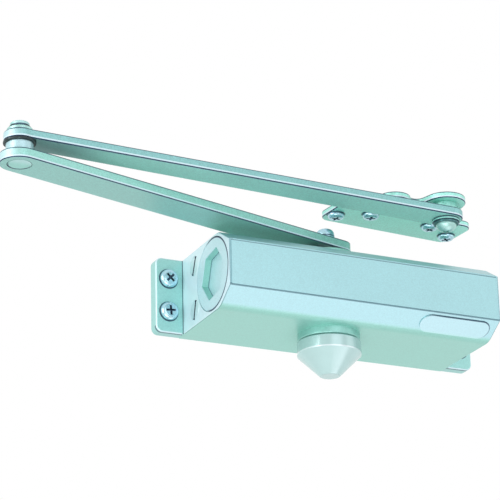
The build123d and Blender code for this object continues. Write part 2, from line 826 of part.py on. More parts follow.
def shoe_pivot_bolt():
    """Shoulder bolt with a domed head below; its neck is riveted into the plate."""
    seat = forearm_bottom - side_play - pivot_collar_thickness - pivot_washer_thickness
    rim = seat - pivot_dome_rim
    tip = seat - pivot_dome_height
    shank = [
        (pivot_dome_radius, seat), (pivot_radius, seat), (pivot_radius, shoe_bottom),
        (pivot_neck, shoe_bottom), (pivot_neck, shoe_top), (0, shoe_top), (0, tip),
    ]
    corners = [(radius, 0, height) for radius, height in shank]
    rise = rim - tip
    ball = (pivot_dome_radius**2 + rise**2) / (2 * rise)
    halfway = pivot_dome_radius / 2
    dome_middle = (halfway, 0, tip + ball - math.sqrt(ball**2 - halfway**2))
    dome = ThreePointArc((0, 0, tip), dome_middle, (pivot_dome_radius, 0, rim))
    side = Line((pivot_dome_radius, 0, rim), (pivot_dome_radius, 0, seat))
    face = make_face([Polyline(*corners), dome, side])
    slot = Pos(0, 0, tip) * Box(pivot_cross * pivot_dome_radius, cross_width, 2 * cross_depth)
    return shoe_place * (revolve(face, Axis.Z) - slot - Rot(0, 0, 90) * slot)


def pivot_ring(radius, start, thickness):
    ring = washer(radius, pivot_radius + seat_gap, start, start + thickness, shoe_x, shoe_y)
    return round_edges(ring, radius, ring_edge)


def shoe_screws():
    head = (shoe_head_radius, shoe_head_height)
    screw = pan_screw(*head, shoe_screw_radius, shoe_thickness, shoe_screw_length)
    placed = []
    for index, (x, y) in enumerate(shoe_screw_spots()):
        place = shoe_place * Pos(x, y, shoe_bottom) * Rot(0, 0, shoe_screw_turn * index)
        placed.append(place * screw)
    return Compound(children=placed)


def lower(solid):
    """The same piece at the bottom end of the spindle."""
    return mirror(solid, Plane.XY)


def all_pieces():
    spacer_top = arm_top + elbow_spacer_height
    collar_start = forearm_bottom - side_play - pivot_collar_thickness
    washer_start = collar_start - pivot_washer_thickness
    return {
        "housing": housing(),
        "left_end_plug": left_plug_place() * end_plug(False),
        "right_end_plug": right_plug_place() * end_plug(True),
        "left_plug_ring": left_plug_place() * plug_ring(),
        "right_plug_ring": right_plug_place() * plug_ring(),
        "closing_valve": valve_place(1) * speed_valve(),
        "latching_valve": valve_place(-1) * speed_valve(),
        "closing_valve_ring": valve_place(1) * valve_seal(),
        "latching_valve_ring": valve_place(-1) * valve_seal(),
        "pinion_shaft": pinion_shaft(),
        "upper_bush": bush(upper_boss_top),
        "lower_bush": lower(bush(lower_boss_top)),
        "upper_shaft_seal": shaft_seal(upper_boss_top),
        "lower_shaft_seal": lower(shaft_seal(lower_boss_top)),
        "upper_bearing_nut": bearing_nut(upper_boss_top),
        "lower_bearing_nut": lower(bearing_nut(lower_boss_top)),
        "spindle_cap": spindle_cap(),
        "piston": piston(),
        "piston_seal": piston_seal(),
        "check_ball": check_ball(),
        "check_ball_retainer": check_ball_retainer(),
        "closer_spring": closer_spring(),
        "mounting_screws": mounting_screws(),
        "main_arm": main_arm(),
        "arm_screw": arm_screw(),
        "arm_screw_washer": arm_screw_washer(),
        "arm_lock_washer": arm_lock_washer(),
        "elbow_pin": elbow_pin(),
        "elbow_spacer": elbow_ring(elbow_spacer_radius, arm_top, elbow_spacer_height),
        "elbow_thrust_washer": elbow_ring(elbow_washer_radius, spacer_top, elbow_washer_thickness),
        "elbow_top_washer": elbow_ring(top_washer_radius, forearm_top + side_play, top_washer_thickness),
        "elbow_retaining_ring": elbow_retaining_ring(),
        "forearm": forearm(),
        "elbow_bush": elbow_bush(),
        "forearm_end_bush": forearm_end_bush(),
        "shoe_plate": shoe_plate(),
        "shoe_pivot_bolt": shoe_pivot_bolt(),
        "shoe_pivot_spacer": pivot_ring(pivot_spacer_radius, forearm_top + side_play, pivot_spacer_height),
        "shoe_pivot_collar": pivot_ring(pivot_collar_radius, collar_start, pivot_collar_thickness),
        "shoe_pivot_washer": pivot_ring(pivot_washer_radius, washer_start, pivot_washer_thickness),
        "shoe_screws": shoe_screws(),
    }


os.makedirs("parts", exist_ok=True)
for name, piece in all_pieces().items():
    export_step(piece, f"parts/{name}.step")
print(f"piston travel {piston_travel:.3f} mm, spindle at {pinion_x:.3f}, {pinion_y:.3f}")
print(f"elbow at {elbow_x:.3f}, {elbow_y:.3f}, shoe pivot at {shoe_x:.3f}, {shoe_y:.3f}")
print(f"levels: arm {arm_bottom:.2f}, forearm {forearm_bottom:.2f}, shoe {shoe_bottom:.2f} to {shoe_top:.2f}")
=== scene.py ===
import json
import math

import bmesh
import bpy
from mathutils import Matrix, Vector


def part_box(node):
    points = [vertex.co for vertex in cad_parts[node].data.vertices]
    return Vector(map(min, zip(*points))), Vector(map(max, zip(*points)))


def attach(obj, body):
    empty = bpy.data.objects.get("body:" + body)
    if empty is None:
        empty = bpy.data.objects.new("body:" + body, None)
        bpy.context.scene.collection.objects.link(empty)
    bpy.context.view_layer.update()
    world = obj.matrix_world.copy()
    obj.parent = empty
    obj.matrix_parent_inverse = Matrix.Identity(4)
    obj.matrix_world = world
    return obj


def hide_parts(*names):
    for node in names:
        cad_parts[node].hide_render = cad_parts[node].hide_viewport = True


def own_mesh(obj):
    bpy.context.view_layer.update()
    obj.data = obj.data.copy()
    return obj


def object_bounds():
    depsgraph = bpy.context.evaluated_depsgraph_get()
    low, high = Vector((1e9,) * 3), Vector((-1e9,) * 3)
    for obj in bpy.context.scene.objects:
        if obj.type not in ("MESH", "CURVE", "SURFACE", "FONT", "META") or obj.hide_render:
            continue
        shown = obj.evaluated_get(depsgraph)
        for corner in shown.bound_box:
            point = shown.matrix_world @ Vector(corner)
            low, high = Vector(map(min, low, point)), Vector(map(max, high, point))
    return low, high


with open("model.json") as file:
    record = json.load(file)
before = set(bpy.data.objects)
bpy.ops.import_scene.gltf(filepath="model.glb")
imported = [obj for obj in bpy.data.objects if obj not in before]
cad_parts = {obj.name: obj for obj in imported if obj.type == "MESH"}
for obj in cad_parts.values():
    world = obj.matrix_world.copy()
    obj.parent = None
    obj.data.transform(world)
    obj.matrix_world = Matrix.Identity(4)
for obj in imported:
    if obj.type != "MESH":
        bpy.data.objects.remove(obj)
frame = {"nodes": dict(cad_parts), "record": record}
cad_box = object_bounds()

# Door closer with its folding arm, in metres, in the frame of its solids: X runs along the body,
# the door is the plane Y = 0 with the front at negative Y, and Z is up.

MM = 0.001

# Camera, in degrees: below the closer and to its left, looking up
VIEW_TURN = 25.36
VIEW_RISE = 20.68
VIEW_ROLL = -1.36
VIEW_PLACE = Vector((-0.60634, -1.19999, -0.46479))
VIEW_LENS = 180.9

# Studio
FLOOR_DROP = 2.0              # the closer hangs about this high over the floor
FLOOR_SIZE = 6.0
FLOOR_CLOUD = 0.8
FLOOR_LIFT = 0.35             # keeps the floor pale where it is seen or mirrored
AMBIENT = 0.50
WHITE = (1.0, 1.0, 1.0)
LAMP_DISTANCE = 1.6
LAMP_SIDE = 1.0
LAMPS = {
    # name: where it shines from, power, colour
    "key_lamp": ((-0.42, -0.60, -0.68), 8.5, WHITE),
    "left_lamp": ((-0.97, -0.20, 0.10), 13.0, (1.0, 0.96, 0.98)),
    "front_lamp": ((0.05, -0.98, 0.10), 4.0, (0.98, 0.90, 1.0)),
    "right_lamp": ((0.86, -0.50, 0.15), 2.5, WHITE),
    "low_lamp": ((0.40, -0.06, -0.91), 4.0, (1.0, 0.80, 0.88)),
}

# Silver paint
PAINT_FLAKE = 0.45 * MM
PAINT_CLOUD = 45 * MM
PAINT_PEEL = 1.6 * MM         # orange peel
PAINT_PIT = 0.3 * MM
PEEL_HEIGHT = 0.03 * MM
BODY_FLECK = 0.09             # how far the flakes differ from the paint's colour
ARM_FLECK = 0.20
BRIGHT_METAL = 0.2            # metallic share left where a highlight is painted

# Marks on the surfaces, mostly painted shade and painted highlights: a DARK or BRIGHT value is the strength
# of a mark, from 0 to 1
ON_FACE = 0.1 * MM            # what is this near to a flat face lies on it
OFF_FACE = 0.02 * MM          # what is this far from a flat face lies beside it

# Body casting
BODY_HALF_LENGTH = 82.5 * MM
BODY_HALF_HEIGHT = 21.7 * MM
BODY_EDGE = 0.9 * MM          # rounding round the ends of the body
FRONT_LIGHT_ZONE = (56 * MM, 59 * MM)   # from the door to where the cooler tone painted on the front, standing in for the cooler light there, begins and is full
EAR_LIGHT_SHARE = 0.4                # share of that painted light tone on the ears
PANEL_HEIGHT = 0.4 * MM       # low panel on the flat front
PANEL_FACE = 0.08 * MM        # its face, before its edges turn back
PANEL_SIDE = 12 * MM          # the painted shade lines along its long edges lie beyond this, over and under the middle
PANEL_LEFT = -80 * MM         # the painted shade line along its left end lies beyond this
# strengths of the painted shade lines round the panel
PANEL_TOP_DARK = 0.60
PANEL_LOW_DARK = 0.55
PANEL_LEFT_DARK = 0.25
END_LINE = 0.4 * MM           # thin painted shade line in the rounding round the ends
END_DARK = 0.35
END_SHINE = 0.25 * MM         # how far the painted highlight on the ends reaches into that rounding
END_BRIGHT = 0.82
BOSS_ZONE = 19 * MM           # round the spindle, takes in the lower bearing boss, where shade is painted
BOSS_DARK = 0.18
EAR_THICKNESS = 7.2 * MM
EAR_EDGE = 0.9 * MM           # rounding of the ears
EAR_FACE = 0.08 * MM          # their faces, before that rounding turns back
EAR_GAP = 1 * MM              # from the body to where the painted highlights on their edges begin
EAR_BRIGHT = 0.8
EAR_LINE = 1.5 * MM           # painted shade line behind the rounding, under the ears
EAR_FOOT = -18 * MM           # the height under which that line lies
EAR_DARK = 0.7
CORNER_LINE = 0.35 * MM       # half the shadow line in the corner between ear and body
CORNER_DARK = 0.75
HEAD_LINE = 0.55 * MM         # shadow line round the head of a screw
DOOR_HEAD_DARK = 0.85
OVAL_MIDDLE = Vector((56.7, -62.0, -17.35)) * MM     # raised oval on the lower slope
OVAL_UP = Vector((0.0, -0.849, 0.528))               # up the slope
OVAL_STRAIGHT = 15.5 * MM     # half its straight sides
OVAL_RADIUS = 6.0 * MM
OVAL_FRONT = -50 * MM         # it lies in front of this
OVAL_TOP = -13 * MM           # and under this
OVAL_LINE = 0.35 * MM
OVAL_LEAN = 0.25              # a step to the right counts as this share of a step up the slope
OVAL_FADE = (-2 * MM, 4 * MM)     # where that painted shade line fades in, towards the upper right
OVAL_DARK = 0.8
OVAL_BRIGHT = 0.2

# End plugs and speed valves
PLUG_RADIUS = 20.5 * MM
PLUG_LINE = 1.1 * MM          # painted shadow line round a plug
PLUG_LINE_FADE = 0.6          # share of that line where it is full
PLUG_FADE = (-0.45 * PLUG_RADIUS, -0.15 * PLUG_RADIUS)     # where it fades in, towards the front
PLUG_DARK = 0.95
SOCKET_RADIUS = 15.5 * MM     # round the hexagon socket
SOCKET_DEPTH = 4.4 * MM
SOCKET_LINE = 0.6 * MM        # painted shade line at the foot of its walls
SOCKET_DARK = 0.6
SOCKET_SHINE = 0.3 * MM       # painted highlight line at its mouth
SOCKET_BRIGHT = 0.9
VALVE_SLOT_REACH = 1.54 * MM  # how deep the slot and its shadow go
VALVE_SLOT_WIDTH = 1.0 * MM
VALVE_SLOT_LIP = 0.2 * MM     # painted shade lips along the slot
VALVE_SLOT_END = 4.4 * MM     # from the middle to where the lips grow wider
VALVE_END_LIP = 0.5 * MM
VALVE_DARK = 0.95
VALVE_TURNS = {"closing_valve": 24.0, "latching_valve": 15.0}     # slots off upright

# Cone cap
CAP_SHOULDER = 33.2 * MM      # how far under the body's middle its straight part ends
CAP_SIDE_SHADE = 0.72          # the straight part is painted darker, as shade
CAP_SIDE_SHARE = 0.5
# painted highlight line round the shoulder
CAP_LINE = 0.4 * MM
CAP_BRIGHT = 0.6

# Flat bars, elbow and pivot
BAR_LINE = 0.50 * MM          # painted shade line, at the lower edge
BAR_SHINE = 1.3 * MM          # painted highlight line, up to this height
BAR_BRIGHT = 0.9
# painted shade line under the upper edge of the bars
BAR_TOP_LINE = 0.7 * MM
BAR_TOP_DARK = 0.85
ARM_DARK = 0.15               # painted shade on the lower face of the main arm
EYE_RIM = 0.3 * MM            # outermost part of an eye at the elbow, where a highlight is painted
EYE_BRIGHT = 0.6
FRAME_HEAD_DARK = 0.8
ELBOW_SHADE_REACH = (18 * MM, 58 * MM)     # painted shade under the forearm, fading out from the elbow
ELBOW_SHADE_DARK = 0.52
PIN_LINE = 0.7 * MM
PIN_FADE = (-2 * MM, 4 * MM)  # where that painted shade line fades in, away from the front
PIN_BAND = 0.8 * MM           # painted shade band over the ring on the elbow pin
PIN_DARK = 0.92
PIN_SHINE = (-1 * MM, 5 * MM)     # where a highlight is painted on its foot, towards the front
PIN_BRIGHT = 0.4
WASHER_LINE = 0.5 * MM
WASHER_DARK = 0.85
RING_TOP_LINE = 0.6 * MM
RING_LOW_LINE = 0.18 * MM
RING_DARK = 0.9

# Turned steel and zinc
LATHE_PITCH = 0.30 * MM
VALVE_ROUGH = 0.40
# painted shade in the driver recess of the screws
RECESS_DARK = 0.85

# Screws
SAME_PLACE = 1e-7             # points this near to each other are one
SHARP_ANGLE = 40.0            # edges over this many degrees stay sharp
HEAD_SIDES = 40
HEAD_ROUND = 0.7              # rounding of a pan head, as a share of its height
HEAD_STEP = 15                # degrees of that rounding in one step
THREAD_STEPS = 24             # in one turn
THREAD_PITCH = 1.6 * MM
THREAD_WIDTH = 0.6            # of the ridge at its foot, as a share of the pitch
THREAD_HEIGHT = 0.4 * MM
THREAD_ROOT = 0.1 * MM        # how far a thread is sunk into its core
RIM_SHADOW = 0.8 * MM         # painted shade line where a head meets its seat
RIM_DARK = 0.9
POINT_LENGTH = 3.5 * MM
POINT_SHARE = 0.12            # width left at the very tip
CROSS_REACH = 0.55            # half the cross, as a share of the head's radius
CROSS_MARGIN = 1.05           # the flat of a head is at least this much wider than its cross
CROSS_WIDTH = 1.3 * MM
CROSS_DEPTH = 1.7 * MM
CROSS_FLOOR = 0.6             # width of the recess at its floor, as a share of its mouth
DOOR_HEAD = (5.2 * MM, 3.2 * MM)
DOOR_SCREW_LENGTH = 16.2 * MM
DOOR_SCREW_TURNS = {1: 45.0, -1: -5.0}
FRAME_HEAD = (4.7 * MM, 2.6 * MM)
FRAME_GRIP = 3.5 * MM
FRAME_SCREW_LENGTH = 12.0 * MM
FRAME_SCREW_TURN = 35.0
BRACKET_TURN = 5.0
ARM_HEAD = (5.2 * MM, 4.6 * MM)
ARM_THREAD_RADIUS = 3.0 * MM
ARM_GRIP = 3.5 * MM
ARM_SCREW_LENGTH = 16.0 * MM
ARM_SCREW_TURN = 30.0

# Closer spring
SPRING_TURNS = 7.5
SPRING_STEPS = 36             # in one turn
WIRE_SIDES = 16
WIRE_RADIUS = 1.8 * MM


class Wire:
    """A node socket in Python maths: an expression on values adds its Math nodes."""

    def __init__(self, wiring, socket):
        self.wiring = wiring
        self.socket = socket

    def math(self, operation, *values):
        return self.wiring.node("ShaderNodeMath", {"operation": operation}, dict(enumerate(values)))

    def __add__(self, other):
        return self.math("ADD", self, other)

    __radd__ = __add__

    def __sub__(self, other):
        return self.math("SUBTRACT", self, other)

    def __rsub__(self, other):
        return self.math("SUBTRACT", other, self)

    def __mul__(self, other):
        return self.math("MULTIPLY", self, other)

    __rmul__ = __mul__

    def __gt__(self, other):
        return self.math("GREATER_THAN", self, other)

    def __lt__(self, other):
        return self.math("LESS_THAN", self, other)

    def __abs__(self):
        return self.math("ABSOLUTE", self)

    def either(self, other):
        return self.math("MAXIMUM", self, other)

    def sine(self):
        return self.math("SINE", self)

    def root(self):
        return self.math("SQRT", self)

    def smooth(self, low, high):
        """0 below low and 1 above high, with a soft change between them."""
        settings = {"interpolation_type": "SMOOTHSTEP"}
        sockets = {"Value": self, "From Min": low, "From Max": high}
        return self.wiring.node("ShaderNodeMapRange", settings, sockets)


class Wiring:
    """A node tree that is filled through one method."""

    def __init__(self, owner):
        owner.use_nodes = True
        self.tree = owner.node_tree

    def node(self, kind, settings=None, sockets=None, output=0):
        """Add a node: its settings come first, then the values or links of its sockets."""
        made = self.tree.nodes.new(kind)
        for name, value in (settings or {}).items():
            setattr(made, name, value)
        for name, value in (sockets or {}).items():
            self.feed(made.inputs[name], value)
        return Wire(self, made.outputs[output])

    def feed(self, target, value):
        if isinstance(value, Wire):
            self.tree.links.new(value.socket, target)
        elif target.type == "RGBA":
            target.default_value = (*value, 1.0)
        else:
            target.default_value = value

    def mix(self, factor, first, painted_tone):
        """Blend from the first colour to the second."""
        return self.node("ShaderNodeMix", {"data_type": "RGBA"}, {0: factor, 6: first, 7: painted_tone}, output=2)


class Finish(Wiring):
    """One material of the closer, patterned on Object coordinates."""

    def __init__(self, name):
        self.material = bpy.data.materials.new(name)
        super().__init__(self.material)
        self.shader = self.tree.nodes["Principled BSDF"]
        self.place = self.node("ShaderNodeTexCoord", output="Object")

    def axes(self):
        split = self.node("ShaderNodeSeparateXYZ", sockets={"Vector": self.place})
        return [Wire(self, socket) for socket in split.socket.node.outputs]

    def reach(self, centre):
        """Distance from a point, without the axis for which the point has None."""
        flat = [0.0 if value is None else 1.0 for value in centre]
        middle = [value or 0.0 for value in centre]
        away = {"operation": "SUBTRACT"}, {0: self.place, 1: middle}
        offset = self.node("ShaderNodeVectorMath", *away)
        pressed = self.node("ShaderNodeVectorMath", {"operation": "MULTIPLY"}, {0: offset, 1: flat})
        return self.node("ShaderNodeVectorMath", {"operation": "LENGTH"}, {0: pressed}, output="Value")

    def noise(self, size, detail=2.0, stretch=(1.0, 1.0, 1.0)):
        """Noise with features of about one size, drawn out along the axes by stretch."""
        sockets = {"Vector": self.place, "Scale": [1 / share for share in stretch]}
        place = self.node("ShaderNodeMapping", sockets=sockets)
        return self.node("ShaderNodeTexNoise", sockets={"Vector": place, "Scale": 1 / size, "Detail": detail})

    def flakes(self, size):
        """A random value in each small cell."""
        sockets = {"Vector": self.place, "Scale": 1 / size}
        cell = self.node("ShaderNodeTexVoronoi", sockets=sockets, output="Color")
        return self.node("ShaderNodeSeparateColor", sockets={"Color": cell})

    def bump(self, height, distance):
        return self.node("ShaderNodeBump", sockets={"Height": height, "Distance": distance})

    def surface(self, **sockets):
        """Set the shader's sockets, named in small letters with underscores."""
        named = {socket.name.lower().replace(" ", "_"): socket for socket in self.shader.inputs}
        for name, value in sockets.items():
            self.feed(named[name], value)
        return self.material


def shade(red, green, blue):
    """Linear colour from screen values of 0 to 255."""
    shares = [value / 255 for value in (red, green, blue)]
    return [share / 12.92 if share <= 0.04045 else ((share + 0.055) / 1.055) ** 2.4 for share in shares]


def toned(colour, share):
    return [min(1.0, value * share) for value in colour]


BODY_COLOUR = shade(156, 217, 205)
# Cooler tone painted on the front, standing in for the cooler light that falls on it
FRONT_LIGHT_TONE = shade(166, 213, 218)
PLUG_COLOUR = shade(188, 226, 232)
# Darker tone painted on the socket walls as shade
SOCKET_SHADE_COLOUR = shade(158, 214, 204)
ARM_COLOUR = shade(152, 213, 203)
# The forearm's side faces get a darker, cooler tone as painted shade
FOREARM_SIDE_SHADE = shade(138, 195, 194)
# The shoe plate is painted lighter than the arms, as painted light
SHOE_LIT_COLOUR = shade(166, 238, 223)
# Colour of the painted highlights
HIGHLIGHT_COLOUR = shade(214, 240, 248)
CAP_COLOUR = shade(187, 222, 220)
CAP_HIGHLIGHT_COLOUR = shade(240, 248, 252)
ZINC_COLOUR = shade(176, 216, 232)
STEEL_COLOUR = shade(170, 214, 208)
VALVE_COLOUR = shade(206, 234, 236)
SHADED_WASHER_STEEL = shade(72, 112, 114)
DARK_STEEL = shade(52, 64, 66)
MACHINED_STEEL = shade(170, 174, 178)
BRONZE = shade(186, 140, 78)
RUBBER = shade(28, 28, 30)
IRON = shade(118, 120, 122)
SPRING_WIRE = shade(88, 88, 94)
BALL_STEEL = shade(214, 216, 220)
SHADOW = shade(20, 50, 84)


def middle_of(node):
    low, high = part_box(node)
    return (low + high) / 2


def satin_paint(name, colour, metal, rough, shade_marks=None, highlight_marks=None, painted_tone=None, fleck=BODY_FLECK):
    """Silver paint: fine flakes, orange peel, soft clouds, a second tone painted as light and shade, painted
    highlights and painted shade marks.
    """
    finish = Finish(name)
    flake = finish.flakes(PAINT_FLAKE)
    cloud = finish.noise(PAINT_CLOUD)
    grain = cloud * 0.4 + flake * 0.6
    base = finish.mix(grain, toned(colour, 1 - fleck), toned(colour, 1 + fleck))
    # A second tone on part of the surface, standing in for the light or shade that falls there
    if painted_tone:
        tone, zone = painted_tone
        other = finish.mix(grain, toned(tone, 1 - fleck), toned(tone, 1 + fleck))
        base = finish.mix(zone(finish), base, other)
    # Painted highlights: mixed towards the highlight colour and made less metallic
    if highlight_marks:
        bright = highlight_marks(finish)
        base = finish.mix(bright, base, HIGHLIGHT_COLOUR)
        metal = metal - bright * (metal - BRIGHT_METAL)
    # Painted shade: dark marks mixed towards the shadow colour
    if shade_marks:
        base = finish.mix(shade_marks(finish), base, SHADOW)
    peel = finish.noise(PAINT_PEEL)
    pits = finish.noise(PAINT_PIT)
    return finish.surface(
        base_color=base, metallic=metal, roughness=cloud * 0.10 + flake * 0.04 + (rough - 0.07),
        normal=finish.bump(peel + pits * 0.4, PEEL_HEIGHT), coat_weight=0.12, coat_roughness=0.25,
    )


def front_light_zone(finish):
    """Where the cooler tone of painted light goes: the flat front of the body and its slopes, and faintly the
    ears.
    """
    x, y, z = finish.axes()
    return (0.0 - y).smooth(*FRONT_LIGHT_ZONE).either((abs(x) > BODY_HALF_LENGTH) * EAR_LIGHT_SHARE)


def panel_shade_lines(finish):
    """Painted shade: dark lines on the upper edge of the low front panel, and in the step below it and to its
    left.
    """
    x, y, z = finish.axes()
    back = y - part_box("housing")[0].y - PANEL_FACE
    step = (back > 0.0) * (back < PANEL_HEIGHT)
    step = step * ((z < -PANEL_SIDE) * PANEL_LOW_DARK).either((x < PANEL_LEFT) * PANEL_LEFT_DARK)
    return step.either((back < 0.0) * (z > PANEL_SIDE) * PANEL_TOP_DARK)


def end_lines(finish):
    """Thin painted shade lines in the rounding round the ends of the body."""
    x, y, z = finish.axes()
    turning = abs(abs(x) - BODY_HALF_LENGTH + BODY_EDGE / 2) < END_LINE / 2
    return turning * (y < -EAR_THICKNESS - BODY_EDGE) * END_DARK


def ear_lines(finish):
    """Painted shade lines at the ears: in the corners with the body, round the screw heads and along the
    foot.
    """
    x, y, z = finish.axes()
    past_end = abs(x) - BODY_HALF_LENGTH
    back = y + EAR_THICKNESS
    corner = (abs(past_end) < CORNER_LINE) * (abs(back) < CORNER_LINE) * CORNER_DARK
    dims = mount_named("door_screws")["dims"]
    aside = abs(x) - dims["spacing_x_mm"] / 2 * MM
    above = abs(z) - dims["spacing_y_mm"] / 2 * MM
    near = (aside * aside + above * above).root() < DOOR_HEAD[0] + HEAD_LINE
    heads = near * (back < ON_FACE) * DOOR_HEAD_DARK
    foot = (back > EAR_EDGE) * (back < EAR_EDGE + EAR_LINE) * (z < EAR_FOOT) * EAR_DARK
    return corner.either(heads.either(foot) * (past_end > 0.0))


def oval_reach(finish):
    """Distance out from the rim of the raised oval, how far a point is to its upper right, and its zone."""
    x, y, z = finish.axes()
    up = (y - OVAL_MIDDLE.y) * OVAL_UP.y + (z - OVAL_MIDDLE.z) * OVAL_UP.z
    along = x - OVAL_MIDDLE.x
    past = (abs(along) - OVAL_STRAIGHT).either(0.0)
    outward = (past * past + up * up).root() - OVAL_RADIUS
    return outward, up + along * OVAL_LEAN, (z < OVAL_TOP) * (y < OVAL_FRONT)


def oval_line(finish):
    """Painted shade line along the upper right rim of the oval."""
    outward, upper_right, zone = oval_reach(finish)
    return (abs(outward) < OVAL_LINE) * upper_right.smooth(*OVAL_FADE) * zone * OVAL_DARK


def boss_shade(finish):
    """The lower bearing boss, painted a little darker than the body as shade."""
    x, y, z = finish.axes()
    cap = middle_of("spindle_cap")
    below = z < -BODY_HALF_HEIGHT - 2 * ON_FACE
    return (finish.reach((cap.x, cap.y, None)) < BOSS_ZONE) * below * BOSS_DARK


def casting_painted_shade(finish):
    """All the painted shade marks on the body casting."""
    seams = panel_shade_lines(finish)
    for more in (end_lines, ear_lines, oval_line, boss_shade):
        seams = seams.either(more(finish))
    return seams


def casting_painted_highlights(finish):
    """Painted highlights on the ends and on the rounded edges of the ears, and the raised oval painted a
    little paler.
    """
    x, y, z = finish.axes()
    past_end = abs(x) - BODY_HALF_LENGTH
    back = y + EAR_THICKNESS
    ends = (abs(past_end) < END_SHINE) * (back < -CORNER_LINE) * END_BRIGHT
    edges = (past_end > EAR_GAP) * (back < EAR_EDGE) * (back > EAR_FACE) * EAR_BRIGHT
    outward, upper_right, zone = oval_reach(finish)
    return ends.either(edges).either((outward < 0.0) * zone * OVAL_BRIGHT)


def bar_bands(finish, start, end):
    """1 between two heights over the lower face of each flat bar, or under its upper face if negative."""
    x, y, z = finish.axes()
    bands = 0.0
    for node in ("main_arm", "forearm", "shoe_plate"):
        low, high = (corner.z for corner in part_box(node))
        face = low if start > 0 else high
        bands = (z > face + start) * (z < face + end) + bands
    return bands


def bar_painted_shade(finish):
    """Painted shade: dark lines along the edges of the bars and round the frame screws, shade under the
    forearm by the elbow and a darker lower face of the main arm.
    """
    x, y, z = finish.axes()
    lines = bar_bands(finish, OFF_FACE, BAR_LINE)
    lines = lines + bar_bands(finish, -BAR_TOP_LINE, -OFF_FACE) * BAR_TOP_DARK
    under_shoe = abs(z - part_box("shoe_plate")[0].z) < ON_FACE
    for spot in frame_screw_spots():
        near = finish.reach((spot.x, spot.y, None)) < FRAME_HEAD[0] + HEAD_LINE
        lines = lines.either(near * under_shoe * FRAME_HEAD_DARK)
    elbow = middle_of("elbow_pin")
    # Painted shade under the forearm near the elbow
    elbow_shade = 1 - finish.reach((elbow.x, elbow.y, None)).smooth(*ELBOW_SHADE_REACH)
    under_forearm = abs(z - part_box("forearm")[0].z) < ON_FACE
    under_arm = abs(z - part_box("main_arm")[0].z) < OFF_FACE
    return lines.either(elbow_shade * under_forearm * ELBOW_SHADE_DARK).either(under_arm * ARM_DARK)


def bar_painted_highlights(finish):
    """Painted highlights: a line just over the lower edge of the bars, and the ends of the elbow's eyes."""
    x, y, z = finish.axes()
    elbow = middle_of("elbow_pin")
    out = finish.reach((elbow.x, elbow.y, None))
    eyes = 0.0
    for node in ("main_arm", "forearm"):
        low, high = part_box(node)
        radius = elbow.x - low.x
        side = (z > low.z + BAR_LINE) * (z < high.z - BAR_TOP_LINE) * (out > radius - EYE_RIM)
        eyes = side * (elbow.x - x).smooth(0.0, radius) * EYE_BRIGHT + eyes
    return eyes.either(bar_bands(finish, BAR_LINE, BAR_SHINE) * BAR_BRIGHT)


def forearm_side_shade(finish):
    """The side faces of the forearm, between its flat faces, painted darker and cooler as shade."""
    x, y, z = finish.axes()
    low, high = (corner.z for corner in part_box("forearm"))
    return (z > low + OFF_FACE) * (z < high - OFF_FACE)


def pin_painted_shade(finish):
    """Painted shade lines on the elbow pin: round its foot, on the side away from the front, and over its
    ring.
    """
    x, y, z = finish.axes()
    middle = middle_of("elbow_pin")
    low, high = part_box("elbow_pin")
    outermost = finish.reach((middle.x, middle.y, None)) > (high.x - low.x) / 2 - PIN_LINE
    rim = outermost * (y - middle.y).smooth(*PIN_FADE)
    ring_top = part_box("elbow_retaining_ring")[1].z
    band = (z > ring_top) * (z < ring_top + PIN_BAND)
    return rim.either(band) * PIN_DARK


def pin_painted_highlight(finish):
    """Painted highlight on the side of the elbow pin towards the front."""
    x, y, z = finish.axes()
    return (middle_of("elbow_pin").y - y).smooth(*PIN_SHINE) * PIN_BRIGHT


def washer_painted_shade(finish):
    """The painted shade line where the elbow's top washer sits on the forearm."""
    x, y, z = finish.axes()
    return (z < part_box("elbow_top_washer")[0].z + WASHER_LINE) * WASHER_DARK


def ring_painted_shade(finish):
    """Painted shade lines at the upper and lower edges of the ring under the forearm."""
    x, y, z = finish.axes()
    low, high = (corner.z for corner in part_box("shoe_pivot_collar"))
    upper = (z > high - RING_TOP_LINE) * (z < high + ON_FACE)
    return upper.either(z < low + RING_LOW_LINE) * RING_DARK


def socket_depth(finish):
    """Depth under the outer faces of the end plugs, and whether a point is inside the round of the socket."""
    x, y, z = finish.axes()
    middle = middle_of("left_end_plug")
    inside = finish.reach((None, middle.y, middle.z)) < SOCKET_RADIUS
    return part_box("right_end_plug")[1].x - abs(x), inside


def shaded_socket_walls(finish):
    """The walls of the hexagon sockets, where a darker tone is painted as shade."""
    depth, inside = socket_depth(finish)
    return (depth > ON_FACE) * (depth < SOCKET_DEPTH - ON_FACE) * inside


def socket_mouth_highlight(finish):
    """Painted highlights round the mouths of the sockets."""
    depth, inside = socket_depth(finish)
    return (depth > OFF_FACE) * (depth < SOCKET_SHINE) * inside * SOCKET_BRIGHT


def plug_painted_shade(finish):
    """Painted shade in the gap round an end plug, widest towards the front, and at the foot of its socket's
    walls.
    """
    x, y, z = finish.axes()
    middle = middle_of("left_end_plug")
    radius = finish.reach((None, middle.y, middle.z))
    gap = radius.smooth(PLUG_RADIUS - PLUG_LINE, PLUG_RADIUS - PLUG_LINE_FADE * PLUG_LINE)
    gap = gap * (middle.y - y).smooth(*PLUG_FADE) * PLUG_DARK
    depth, inside = socket_depth(finish)
    foot = (depth > SOCKET_DEPTH - SOCKET_LINE) * (depth < SOCKET_DEPTH - ON_FACE) * inside
    return gap.either(foot * SOCKET_DARK)


